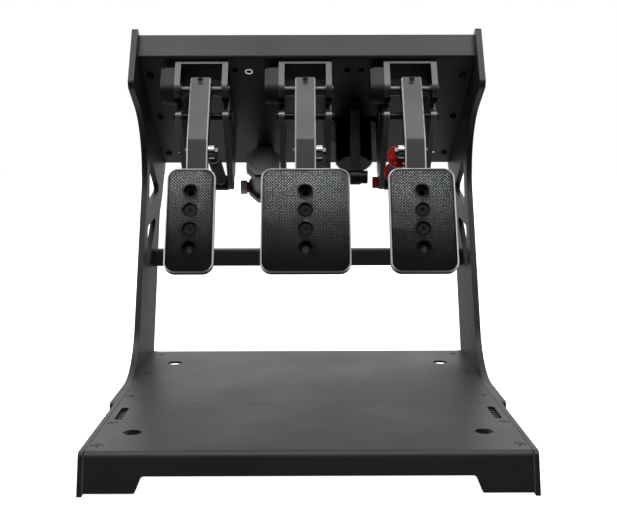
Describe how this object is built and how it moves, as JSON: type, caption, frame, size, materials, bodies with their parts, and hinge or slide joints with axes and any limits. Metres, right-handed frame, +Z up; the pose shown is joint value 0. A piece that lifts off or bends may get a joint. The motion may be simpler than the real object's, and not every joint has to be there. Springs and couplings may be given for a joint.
{
  "type": "sim racing pedal set",
  "caption": "Inverted sim racing pedal set: clutch, brake and throttle hang from a tilted deck between two cut uprights above a folded heel plate.",
  "frame": {"origin": "on the floor, under the middle of the whole set", "axes": "+Y away from the driver, +Z up, +X to the driver's right"},
  "size_m": [0.474, 0.6668, 0.5022],
  "materials": {
    "coated_steel": "satin",
    "anodised_black": "satin",
    "anodised_red": "satin",
    "screw_black": "satin",
    "bright_steel": "polished",
    "spring_black": "satin",
    "elastomer": "matte",
    "plastic_black": "matte",
    "bronze": "satin"
  },
  "bodies": {
    "frame": {"base_rail_left": "coated_steel", "base_rail_right": "coated_steel", "brake_angle_sensor": "plastic_black", "brake_bracket": "anodised_black", "brake_side_plates": "anodised_black", "button_screws": "screw_black", "canister_cap": "anodised_black", "canister_strut": "anodised_black", "capped_canister": "anodised_black", "clutch_angle_sensor": "plastic_black", "clutch_bracket": "anodised_black", "clutch_side_plates": "anodised_black", "control_box": "plastic_black", "countersunk_screws": "screw_black", "deck_rail_left": "coated_steel", "deck_rail_right": "coated_steel", "flanged_canister": "anodised_black", "heel_plate_front": "coated_steel", "heel_plate_rear": "coated_steel", "pedal_deck": "coated_steel", "pivot_bushes": "bronze", "rear_crossbar": "coated_steel", "stop_bolts": "screw_black", "throttle_angle_sensor": "plastic_black", "throttle_bracket": "anodised_black", "throttle_side_plates": "anodised_black", "upright_left": "coated_steel", "upright_right": "coated_steel"},
    "clutch_pedal": {"clutch_arm": "anodised_black", "clutch_adaptor": "anodised_black", "clutch_plate": "anodised_black", "clutch_screws": "screw_black", "clutch_link_pin": "bright_steel", "clutch_axle": "bright_steel"},
    "clutch_guide": {"clutch_link_guide": "anodised_black", "clutch_spring": "spring_black"},
    "clutch_rod": {"clutch_link_rod": "bright_steel"},
    "clutch_nut": {"clutch_preload_nut": "bright_steel"},
    "brake_pedal": {"brake_arm": "anodised_black", "brake_adaptor": "anodised_black", "brake_plate": "anodised_black", "brake_screws": "screw_black", "brake_link_pin": "bright_steel", "brake_axle": "bright_steel"},
    "brake_guide": {"brake_link_guide": "anodised_black", "brake_elastomers": "elastomer"},
    "brake_rod": {"brake_link_rod": "bright_steel"},
    "brake_nut": {"brake_preload_nut": "bright_steel"},
    "throttle_pedal": {"throttle_arm": "anodised_black", "throttle_adaptor": "anodised_black", "throttle_plate": "anodised_black", "throttle_screws": "screw_black", "throttle_link_pin": "bright_steel", "throttle_axle": "bright_steel"},
    "throttle_guide": {"throttle_link_guide": "anodised_red", "throttle_spring": "spring_black"},
    "throttle_rod": {"throttle_link_rod": "bright_steel"},
    "throttle_nut": {"throttle_preload_nut": "anodised_red"},
    "canister_adjuster": {"adjuster_knob": "anodised_black"},
    "throttle_lock": {"lock_knob": "anodised_red"}
  },
  "joints": [
    {"name": "clutch_pivot", "type": "hinge", "parent": "frame", "child": "clutch_pedal", "pos_m": [-0.1427, 0.07886, 0.41898], "axis": [1, 0, 0], "range_deg": [0, 23.5], "stiffness_Nm_per_rad": 44, "springref_deg": -3.44},
    {"name": "clutch_link_swing", "type": "hinge", "parent": "frame", "child": "clutch_guide", "pos_m": [-0.1427, 0.16104, 0.29134], "axis": [1, 0, 0], "range_deg": [0, 4]},
    {"name": "clutch_link_slide", "type": "slide", "parent": "clutch_guide", "child": "clutch_rod", "axis": [0, 0.9553, -0.2956], "range_m": [0, 0.0418], "deforming": ["clutch_spring"]},
    {"name": "clutch_preload_turn", "type": "hinge", "parent": "clutch_rod", "child": "clutch_nut", "pos_m": [-0.1245, 0.03557, 0.33016], "axis": [0, 0.9553, -0.2956], "continuous": true},
    {"name": "brake_pivot", "type": "hinge", "parent": "frame", "child": "brake_pedal", "pos_m": [-0.0022, 0.07886, 0.41898], "axis": [1, 0, 0], "range_deg": [0, 9], "stiffness_Nm_per_rad": 350, "springref_deg": -0.69},
    {"name": "brake_link_swing", "type": "hinge", "parent": "frame", "child": "brake_guide", "pos_m": [-0.0022, 0.16104, 0.29134], "axis": [1, 0, 0], "range_deg": [0, 2.05]},
    {"name": "brake_link_slide", "type": "slide", "parent": "brake_guide", "child": "brake_rod", "axis": [0, 0.9553, -0.2956], "range_m": [0, 0.0158], "deforming": ["brake_elastomers"]},
    {"name": "brake_preload_turn", "type": "hinge", "parent": "brake_rod", "child": "brake_nut", "pos_m": [0.016, 0.03557, 0.33016], "axis": [0, 0.9553, -0.2956], "continuous": true},
    {"name": "throttle_pivot", "type": "hinge", "parent": "frame", "child": "throttle_pedal", "pos_m": [0.1406, 0.07886, 0.41898], "axis": [1, 0, 0], "range_deg": [0, 22], "stiffness_Nm_per_rad": 22, "springref_deg": -5.16},
    {"name": "throttle_link_swing", "type": "hinge", "parent": "frame", "child": "throttle_guide", "pos_m": [0.1406, 0.16104, 0.29134], "axis": [1, 0, 0], "range_deg": [0, 3.9]},
    {"name": "throttle_link_slide", "type": "slide", "parent": "throttle_guide", "child": "throttle_rod", "axis": [0, 0.9553, -0.2956], "range_m": [0, 0.0391], "deforming": ["throttle_spring"]},
    {"name": "throttle_preload_turn", "type": "hinge", "parent": "throttle_rod", "child": "throttle_nut", "pos_m": [0.1224, 0.03557, 0.33016], "axis": [0, 0.9553, -0.2956], "continuous": true},
    {"name": "canister_adjuster_turn", "type": "hinge", "parent": "frame", "child": "canister_adjuster", "pos_m": [-0.0895, 0.24575, 0.28136], "axis": [-1, 0, 0], "continuous": true},
    {"name": "throttle_lock_turn", "type": "hinge", "parent": "frame", "child": "throttle_lock", "pos_m": [0.1046, 0.16104, 0.29134], "axis": [-1, 0, 0], "continuous": true}
  ],
  "couplings": [
    {"joint": "clutch_link_swing", "follows": "clutch_pivot", "ratio": 0.16799},
    {"joint": "clutch_link_slide", "follows": "clutch_pivot", "m_per_rad": 0.10141},
    {"joint": "brake_link_swing", "follows": "brake_pivot", "ratio": 0.21832},
    {"joint": "brake_link_slide", "follows": "brake_pivot", "m_per_rad": 0.099348},
    {"joint": "throttle_link_swing", "follows": "throttle_pivot", "ratio": 0.17409},
    {"joint": "throttle_link_slide", "follows": "throttle_pivot", "m_per_rad": 0.10125}
  ]
}
